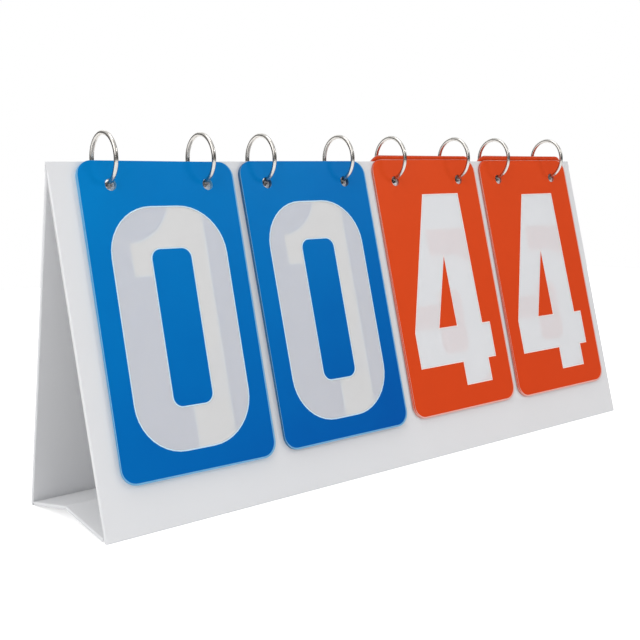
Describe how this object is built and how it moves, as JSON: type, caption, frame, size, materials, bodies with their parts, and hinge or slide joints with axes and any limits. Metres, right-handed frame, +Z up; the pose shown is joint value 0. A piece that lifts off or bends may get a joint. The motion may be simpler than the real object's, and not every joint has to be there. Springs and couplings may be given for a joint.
{
  "type": "tabletop flip scoreboard",
  "caption": "Folding tabletop easel whose numbered leaves flip over hinged rings to show the score of two sides.",
  "frame": {"origin": "on the table, under the middle of the ridge", "axes": "+X along the ridge, -Y towards the side that shows the score, +Z up"},
  "size_m": [0.39, 0.0826, 0.1877],
  "materials": {
    "white_board": "board covered in soft white vinyl, welded flat at its edges",
    "white_film": "bare white vinyl that bends at the ridge and at the folds of the base",
    "blue_film": "printed blue plastic sheet, satin, the digit left pale",
    "red_film": "printed orange-red plastic sheet, satin, the digit left pale",
    "nickel": "nickel-plated steel wire, bright"
  },
  "bodies": {
    "front_stand": {"front_panel": "white_board", "ridge_web": "white_film", "front_fold_web": "white_film", "crease_web": "white_film"},
    "rear_stand": {"rear_panel": "white_board", "rear_fold_web": "white_film"},
    "front_flap": {"base_front_flap": "white_board"},
    "rear_flap": {"base_rear_flap": "white_board"},
    "blue_tens_rings": {"blue_tens_ring_halves": "nickel"},
    "blue_ones_rings": {"blue_ones_ring_halves": "nickel"},
    "red_tens_rings": {"red_tens_ring_halves": "nickel"},
    "red_ones_rings": {"red_ones_ring_halves": "nickel"},
    "blue_tens_left_gate": {"blue_tens_left_gate": "nickel"},
    "blue_tens_right_gate": {"blue_tens_right_gate": "nickel"},
    "blue_ones_left_gate": {"blue_ones_left_gate": "nickel"},
    "blue_ones_right_gate": {"blue_ones_right_gate": "nickel"},
    "red_tens_left_gate": {"red_tens_left_gate": "nickel"},
    "red_tens_right_gate": {"red_tens_right_gate": "nickel"},
    "red_ones_left_gate": {"red_ones_left_gate": "nickel"},
    "red_ones_right_gate": {"red_ones_right_gate": "nickel"},
    "blue_tens_leaf_0": {"blue_tens_leaf_0": "blue_film"},
    "blue_ones_leaf_0": {"blue_ones_leaf_0": "blue_film"},
    "red_tens_leaf_0": {"red_tens_leaf_0": "red_film"},
    "red_ones_leaf_0": {"red_ones_leaf_0": "red_film"},
    "blue_tens_leaf_1": {"blue_tens_leaf_1": "blue_film"},
    "blue_ones_leaf_1": {"blue_ones_leaf_1": "blue_film"},
    "red_tens_leaf_1": {"red_tens_leaf_1": "red_film"},
    "red_ones_leaf_1": {"red_ones_leaf_1": "red_film"},
    "blue_tens_leaf_2": {"blue_tens_leaf_2": "blue_film"},
    "blue_ones_leaf_2": {"blue_ones_leaf_2": "blue_film"},
    "red_tens_leaf_2": {"red_tens_leaf_2": "red_film"},
    "red_ones_leaf_2": {"red_ones_leaf_2": "red_film"},
    "blue_tens_leaf_3": {"blue_tens_leaf_3": "blue_film"},
    "blue_ones_leaf_3": {"blue_ones_leaf_3": "blue_film"},
    "red_tens_leaf_3": {"red_tens_leaf_3": "red_film"},
    "red_ones_leaf_3": {"red_ones_leaf_3": "red_film"},
    "blue_tens_leaf_4": {"blue_tens_leaf_4": "blue_film"},
    "blue_ones_leaf_4": {"blue_ones_leaf_4": "blue_film"},
    "red_tens_leaf_4": {"red_tens_leaf_4": "red_film"},
    "red_ones_leaf_4": {"red_ones_leaf_4": "red_film"},
    "blue_tens_leaf_5": {"blue_tens_leaf_5": "blue_film"},
    "blue_ones_leaf_5": {"blue_ones_leaf_5": "blue_film"},
    "red_tens_leaf_5": {"red_tens_leaf_5": "red_film"},
    "red_ones_leaf_5": {"red_ones_leaf_5": "red_film"},
    "blue_tens_leaf_6": {"blue_tens_leaf_6": "blue_film"},
    "blue_ones_leaf_6": {"blue_ones_leaf_6": "blue_film"},
    "red_tens_leaf_6": {"red_tens_leaf_6": "red_film"},
    "red_ones_leaf_6": {"red_ones_leaf_6": "red_film"},
    "blue_tens_leaf_7": {"blue_tens_leaf_7": "blue_film"},
    "blue_ones_leaf_7": {"blue_ones_leaf_7": "blue_film"},
    "red_tens_leaf_7": {"red_tens_leaf_7": "red_film"},
    "red_ones_leaf_7": {"red_ones_leaf_7": "red_film"},
    "blue_tens_leaf_8": {"blue_tens_leaf_8": "blue_film"},
    "blue_ones_leaf_8": {"blue_ones_leaf_8": "blue_film"},
    "red_tens_leaf_8": {"red_tens_leaf_8": "red_film"},
    "red_ones_leaf_8": {"red_ones_leaf_8": "red_film"},
    "blue_tens_leaf_9": {"blue_tens_leaf_9": "blue_film"},
    "blue_ones_leaf_9": {"blue_ones_leaf_9": "blue_film"},
    "red_tens_leaf_9": {"red_tens_leaf_9": "red_film"},
    "red_ones_leaf_9": {"red_ones_leaf_9": "red_film"}
  },
  "joints": [
    {"name": "stand_fold", "type": "hinge", "parent": "front_stand", "child": "rear_stand", "pos_m": [0, 0, 0.16452], "axis": [-1, 0, 0], "range_deg": [0, 24], "deforming": ["ridge_web", "crease_web"]},
    {"name": "front_flap_fold", "type": "hinge", "parent": "front_stand", "child": "front_flap", "pos_m": [0, -0.03807, 0.0015], "axis": [1, 0, 0], "range_deg": [0, 66.67]},
    {"name": "rear_flap_fold", "type": "hinge", "parent": "rear_stand", "child": "rear_flap", "pos_m": [0, 0.03807, 0.0015], "axis": [-1, 0, 0], "range_deg": [0, 66.67]},
    {"name": "blue_tens_rings_turn", "type": "hinge", "parent": "front_stand", "child": "blue_tens_rings", "pos_m": [0, 0, 0.17415], "axis": [1, 0, 0], "continuous": true},
    {"name": "blue_ones_rings_turn", "type": "hinge", "parent": "front_stand", "child": "blue_ones_rings", "pos_m": [0, 0, 0.17415], "axis": [1, 0, 0], "continuous": true},
    {"name": "red_tens_rings_turn", "type": "hinge", "parent": "front_stand", "child": "red_tens_rings", "pos_m": [0, 0, 0.17415], "axis": [1, 0, 0], "continuous": true},
    {"name": "red_ones_rings_turn", "type": "hinge", "parent": "front_stand", "child": "red_ones_rings", "pos_m": [0, 0, 0.17415], "axis": [1, 0, 0], "continuous": true},
    {"name": "blue_tens_left_gate_open", "type": "hinge", "parent": "blue_tens_rings", "child": "blue_tens_left_gate", "pos_m": [-0.1652, 0, 0.16175], "axis": [1, 0, 0], "range_deg": [0, 20]},
    {"name": "blue_tens_right_gate_open", "type": "hinge", "parent": "blue_tens_rings", "child": "blue_tens_right_gate", "pos_m": [-0.1104, 0, 0.16175], "axis": [1, 0, 0], "range_deg": [0, 20]},
    {"name": "blue_ones_left_gate_open", "type": "hinge", "parent": "blue_ones_rings", "child": "blue_ones_left_gate", "pos_m": [-0.0722, 0, 0.16175], "axis": [1, 0, 0], "range_deg": [0, 20]},
    {"name": "blue_ones_right_gate_open", "type": "hinge", "parent": "blue_ones_rings", "child": "blue_ones_right_gate", "pos_m": [-0.0174, 0, 0.16175], "axis": [1, 0, 0], "range_deg": [0, 20]},
    {"name": "red_tens_left_gate_open", "type": "hinge", "parent": "red_tens_rings", "child": "red_tens_left_gate", "pos_m": [0.0235, 0, 0.16175], "axis": [1, 0, 0], "range_deg": [0, 20]},
    {"name": "red_tens_right_gate_open", "type": "hinge", "parent": "red_tens_rings", "child": "red_tens_right_gate", "pos_m": [0.0783, 0, 0.16175], "axis": [1, 0, 0], "range_deg": [0, 20]},
    {"name": "red_ones_left_gate_open", "type": "hinge", "parent": "red_ones_rings", "child": "red_ones_left_gate", "pos_m": [0.1164, 0, 0.16175], "axis": [1, 0, 0], "range_deg": [0, 20]},
    {"name": "red_ones_right_gate_open", "type": "hinge", "parent": "red_ones_rings", "child": "red_ones_right_gate", "pos_m": [0.1712, 0, 0.16175], "axis": [1, 0, 0], "range_deg": [0, 20]},
    {"name": "blue_tens_leaf_0_flip", "type": "hinge", "parent": "blue_tens_leaf_1", "child": "blue_tens_leaf_0", "pos_m": [0, 0, 0.17794], "axis": [1, 0, 0], "range_deg": [-333.2, 0]},
    {"name": "blue_ones_leaf_0_flip", "type": "hinge", "parent": "blue_ones_leaf_1", "child": "blue_ones_leaf_0", "pos_m": [0, 0, 0.17794], "axis": [1, 0, 0], "range_deg": [-333.2, 0]},
    {"name": "red_tens_leaf_0_flip", "type": "hinge", "parent": "rear_stand", "child": "red_tens_leaf_0", "pos_m": [0, 0, 0.17794], "axis": [-1, 0, 0], "range_deg": [-333.2, 0]},
    {"name": "red_ones_leaf_0_flip", "type": "hinge", "parent": "rear_stand", "child": "red_ones_leaf_0", "pos_m": [0, 0, 0.17794], "axis": [-1, 0, 0], "range_deg": [-333.2, 0]},
    {"name": "blue_tens_leaf_1_flip", "type": "hinge", "parent": "blue_tens_leaf_2", "child": "blue_tens_leaf_1", "pos_m": [0, 0, 0.17794], "axis": [1, 0, 0], "range_deg": [-333.2, 0]},
    {"name": "blue_ones_leaf_1_flip", "type": "hinge", "parent": "blue_ones_leaf_2", "child": "blue_ones_leaf_1", "pos_m": [0, 0, 0.17794], "axis": [1, 0, 0], "range_deg": [-333.2, 0]},
    {"name": "red_tens_leaf_1_flip", "type": "hinge", "parent": "red_tens_leaf_0", "child": "red_tens_leaf_1", "pos_m": [0, 0, 0.17794], "axis": [-1, 0, 0], "range_deg": [-333.2, 0]},
    {"name": "red_ones_leaf_1_flip", "type": "hinge", "parent": "red_ones_leaf_0", "child": "red_ones_leaf_1", "pos_m": [0, 0, 0.17794], "axis": [-1, 0, 0], "range_deg": [-333.2, 0]},
    {"name": "blue_tens_leaf_2_flip", "type": "hinge", "parent": "blue_tens_leaf_3", "child": "blue_tens_leaf_2", "pos_m": [0, 0, 0.17794], "axis": [1, 0, 0], "range_deg": [-333.2, 0]},
    {"name": "blue_ones_leaf_2_flip", "type": "hinge", "parent": "blue_ones_leaf_3", "child": "blue_ones_leaf_2", "pos_m": [0, 0, 0.17794], "axis": [1, 0, 0], "range_deg": [-333.2, 0]},
    {"name": "red_tens_leaf_2_flip", "type": "hinge", "parent": "red_tens_leaf_1", "child": "red_tens_leaf_2", "pos_m": [0, 0, 0.17794], "axis": [-1, 0, 0], "range_deg": [-333.2, 0]},
    {"name": "red_ones_leaf_2_flip", "type": "hinge", "parent": "red_ones_leaf_1", "child": "red_ones_leaf_2", "pos_m": [0, 0, 0.17794], "axis": [-1, 0, 0], "range_deg": [-333.2, 0]},
    {"name": "blue_tens_leaf_3_flip", "type": "hinge", "parent": "blue_tens_leaf_4", "child": "blue_tens_leaf_3", "pos_m": [0, 0, 0.17794], "axis": [1, 0, 0], "range_deg": [-333.2, 0]},
    {"name": "blue_ones_leaf_3_flip", "type": "hinge", "parent": "blue_ones_leaf_4", "child": "blue_ones_leaf_3", "pos_m": [0, 0, 0.17794], "axis": [1, 0, 0], "range_deg": [-333.2, 0]},
    {"name": "red_tens_leaf_3_flip", "type": "hinge", "parent": "red_tens_leaf_2", "child": "red_tens_leaf_3", "pos_m": [0, 0, 0.17794], "axis": [-1, 0, 0], "range_deg": [-333.2, 0]},
    {"name": "red_ones_leaf_3_flip", "type": "hinge", "parent": "red_ones_leaf_2", "child": "red_ones_leaf_3", "pos_m": [0, 0, 0.17794], "axis": [-1, 0, 0], "range_deg": [-333.2, 0]},
    {"name": "blue_tens_leaf_4_flip", "type": "hinge", "parent": "blue_tens_leaf_5", "child": "blue_tens_leaf_4", "pos_m": [0, 0, 0.17794], "axis": [1, 0, 0], "range_deg": [-333.2, 0]},
    {"name": "blue_ones_leaf_4_flip", "type": "hinge", "parent": "blue_ones_leaf_5", "child": "blue_ones_leaf_4", "pos_m": [0, 0, 0.17794], "axis": [1, 0, 0], "range_deg": [-333.2, 0]},
    {"name": "red_tens_leaf_4_flip", "type": "hinge", "parent": "red_tens_leaf_5", "child": "red_tens_leaf_4", "pos_m": [0, 0, 0.17794], "axis": [1, 0, 0], "range_deg": [-333.2, 0]},
    {"name": "red_ones_leaf_4_flip", "type": "hinge", "parent": "red_ones_leaf_5", "child": "red_ones_leaf_4", "pos_m": [0, 0, 0.17794], "axis": [1, 0, 0], "range_deg": [-333.2, 0]},
    {"name": "blue_tens_leaf_5_flip", "type": "hinge", "parent": "blue_tens_leaf_6", "child": "blue_tens_leaf_5", "pos_m": [0, 0, 0.17794], "axis": [1, 0, 0], "range_deg": [-333.2, 0]},
    {"name": "blue_ones_leaf_5_flip", "type": "hinge", "parent": "blue_ones_leaf_6", "child": "blue_ones_leaf_5", "pos_m": [0, 0, 0.17794], "axis": [1, 0, 0], "range_deg": [-333.2, 0]},
    {"name": "red_tens_leaf_5_flip", "type": "hinge", "parent": "red_tens_leaf_6", "child": "red_tens_leaf_5", "pos_m": [0, 0, 0.17794], "axis": [1, 0, 0], "range_deg": [-333.2, 0]},
    {"name": "red_ones_leaf_5_flip", "type": "hinge", "parent": "red_ones_leaf_6", "child": "red_ones_leaf_5", "pos_m": [0, 0, 0.17794], "axis": [1, 0, 0], "range_deg": [-333.2, 0]},
    {"name": "blue_tens_leaf_6_flip", "type": "hinge", "parent": "blue_tens_leaf_7", "child": "blue_tens_leaf_6", "pos_m": [0, 0, 0.17794], "axis": [1, 0, 0], "range_deg": [-333.2, 0]},
    {"name": "blue_ones_leaf_6_flip", "type": "hinge", "parent": "blue_ones_leaf_7", "child": "blue_ones_leaf_6", "pos_m": [0, 0, 0.17794], "axis": [1, 0, 0], "range_deg": [-333.2, 0]},
    {"name": "red_tens_leaf_6_flip", "type": "hinge", "parent": "red_tens_leaf_7", "child": "red_tens_leaf_6", "pos_m": [0, 0, 0.17794], "axis": [1, 0, 0], "range_deg": [-333.2, 0]},
    {"name": "red_ones_leaf_6_flip", "type": "hinge", "parent": "red_ones_leaf_7", "child": "red_ones_leaf_6", "pos_m": [0, 0, 0.17794], "axis": [1, 0, 0], "range_deg": [-333.2, 0]},
    {"name": "blue_tens_leaf_7_flip", "type": "hinge", "parent": "blue_tens_leaf_8", "child": "blue_tens_leaf_7", "pos_m": [0, 0, 0.17794], "axis": [1, 0, 0], "range_deg": [-333.2, 0]},
    {"name": "blue_ones_leaf_7_flip", "type": "hinge", "parent": "blue_ones_leaf_8", "child": "blue_ones_leaf_7", "pos_m": [0, 0, 0.17794], "axis": [1, 0, 0], "range_deg": [-333.2, 0]},
    {"name": "red_tens_leaf_7_flip", "type": "hinge", "parent": "red_tens_leaf_8", "child": "red_tens_leaf_7", "pos_m": [0, 0, 0.17794], "axis": [1, 0, 0], "range_deg": [-333.2, 0]},
    {"name": "red_ones_leaf_7_flip", "type": "hinge", "parent": "red_ones_leaf_8", "child": "red_ones_leaf_7", "pos_m": [0, 0, 0.17794], "axis": [1, 0, 0], "range_deg": [-333.2, 0]},
    {"name": "blue_tens_leaf_8_flip", "type": "hinge", "parent": "blue_tens_leaf_9", "child": "blue_tens_leaf_8", "pos_m": [0, 0, 0.17794], "axis": [1, 0, 0], "range_deg": [-333.2, 0]},
    {"name": "blue_ones_leaf_8_flip", "type": "hinge", "parent": "blue_ones_leaf_9", "child": "blue_ones_leaf_8", "pos_m": [0, 0, 0.17794], "axis": [1, 0, 0], "range_deg": [-333.2, 0]},
    {"name": "red_tens_leaf_8_flip", "type": "hinge", "parent": "red_tens_leaf_9", "child": "red_tens_leaf_8", "pos_m": [0, 0, 0.17794], "axis": [1, 0, 0], "range_deg": [-333.2, 0]},
    {"name": "red_ones_leaf_8_flip", "type": "hinge", "parent": "red_ones_leaf_9", "child": "red_ones_leaf_8", "pos_m": [0, 0, 0.17794], "axis": [1, 0, 0], "range_deg": [-333.2, 0]},
    {"name": "blue_tens_leaf_9_flip", "type": "hinge", "parent": "front_stand", "child": "blue_tens_leaf_9", "pos_m": [0, 0, 0.17794], "axis": [1, 0, 0], "range_deg": [-333.2, 0]},
    {"name": "blue_ones_leaf_9_flip", "type": "hinge", "parent": "front_stand", "child": "blue_ones_leaf_9", "pos_m": [0, 0, 0.17794], "axis": [1, 0, 0], "range_deg": [-333.2, 0]},
    {"name": "red_tens_leaf_9_flip", "type": "hinge", "parent": "front_stand", "child": "red_tens_leaf_9", "pos_m": [0, 0, 0.17794], "axis": [1, 0, 0], "range_deg": [-333.2, 0]},
    {"name": "red_ones_leaf_9_flip", "type": "hinge", "parent": "front_stand", "child": "red_ones_leaf_9", "pos_m": [0, 0, 0.17794], "axis": [1, 0, 0], "range_deg": [-333.2, 0]}
  ],
  "couplings": [
    {"joint": "front_flap_fold", "follows": "stand_fold", "ratio": 2.7757},
    {"joint": "rear_flap_fold", "follows": "stand_fold", "ratio": 2.7757}
  ]
}
